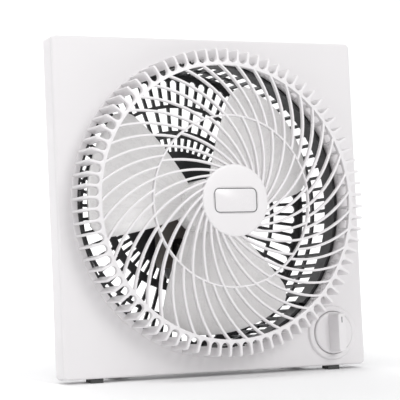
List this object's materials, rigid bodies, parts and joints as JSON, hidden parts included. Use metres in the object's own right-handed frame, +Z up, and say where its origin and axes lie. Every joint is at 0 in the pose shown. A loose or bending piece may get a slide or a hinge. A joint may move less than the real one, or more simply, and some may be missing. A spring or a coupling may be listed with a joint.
{
  "type": "box fan",
  "caption": "Square table-top box fan with a domed swept-rib grille, a three-blade propeller on a shaded-pole motor, a basket guard behind and a rotary speed knob.",
  "frame": {"origin": "middle of the fan's outline, on the floor under its pads", "axes": "+Z up; the front with the grille and the knob faces -Y; +X is to the right seen from the front"},
  "size_m": [0.3, 0.1366, 0.3026],
  "materials": {
    "shell": "satin moulded",
    "badge": "smooth plate",
    "guard": "fine moulded grain",
    "blade": "glossy moulded",
    "nut": "moulded",
    "steel": "turned",
    "bracket": "pressed zinc-plated sheet",
    "lamination": "stamped sheets, varnished",
    "rotor": "die cast",
    "winding": "enamelled copper wire",
    "bronze": "sintered bronze",
    "black_plastic": "moulded",
    "nylon": "moulded",
    "fuse": "sleeved",
    "screw": "zinc-plated",
    "tin": "tinned",
    "rubber": "matt",
    "cable": "smooth insulation"
  },
  "bodies": {
    "frame": {"front_panel": "shell", "front_grille": "shell", "grille_comb": "shell", "hub_badge": "badge", "rear_shell": "shell", "rear_guard": "guard", "left_leg": "shell", "right_leg": "shell", "front_feet": "rubber", "rear_feet": "rubber", "stator_core": "lamination", "stator_coil": "winding", "coil_bobbin": "black_plastic", "thermal_fuse": "fuse", "front_bracket": "bracket", "rear_bracket": "bracket", "front_bushing": "bronze", "rear_bushing": "bronze", "motor_screws": "screw", "panel_screws": "screw", "guard_screws": "screw", "leg_screws": "screw", "switch_body": "black_plastic", "switch_nut": "bracket", "switch_terminals": "tin", "cord_grommet": "rubber", "motor_lead": "cable"},
    "rotor": {"fan_blade": "blade", "blade_nut": "nut", "motor_shaft": "steel", "rotor_core": "rotor", "thrust_washers": "nylon"},
    "knob": {"speed_knob": "shell", "switch_spindle": "steel"}
  },
  "joints": [
    {"name": "fan_spin", "type": "hinge", "parent": "frame", "child": "rotor", "pos_m": [0, 0.02013, 0.1492], "axis": [0, -0.9945, 0.1045], "continuous": true},
    {"name": "knob_turn", "type": "hinge", "parent": "frame", "child": "knob", "pos_m": [0.1158, -0.0322, 0.03404], "axis": [0, 0.9945, -0.1045], "range_deg": [0, 135]}
  ]
}
